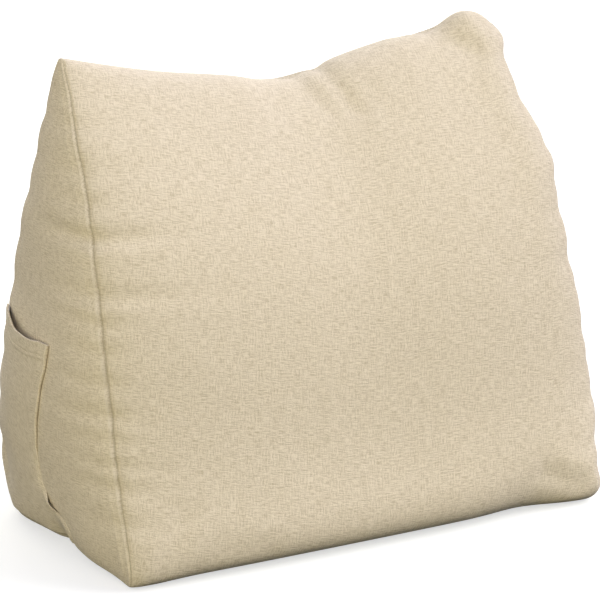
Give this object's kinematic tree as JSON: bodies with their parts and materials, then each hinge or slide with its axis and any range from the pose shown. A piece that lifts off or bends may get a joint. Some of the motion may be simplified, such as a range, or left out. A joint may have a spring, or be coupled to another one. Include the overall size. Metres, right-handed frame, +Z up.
{
  "type": "wedge backrest pillow",
  "caption": "Filled wedge backrest pillow in plain linen-look cloth, with a sagging ridge, three-cornered side panels and a patch pocket on one side.",
  "frame": {"origin": "middle of the bounding box's bottom face, on the floor under the pillow", "axes": "+X to the right along the ridge, -Y out of the sloped front, +Z up; the pocket is on the -X side"},
  "size_m": [0.5052, 0.2657, 0.4],
  "materials": {
    "body_cloth": "matt beige linen-look plain weave with fine slubs",
    "pocket_cloth": "the same linen-look cloth, hemmed at the mouth"
  },
  "bodies": {
    "root": {"cushion_body": "body_cloth", "side_pocket": "pocket_cloth"}
  },
  "joints": []
}
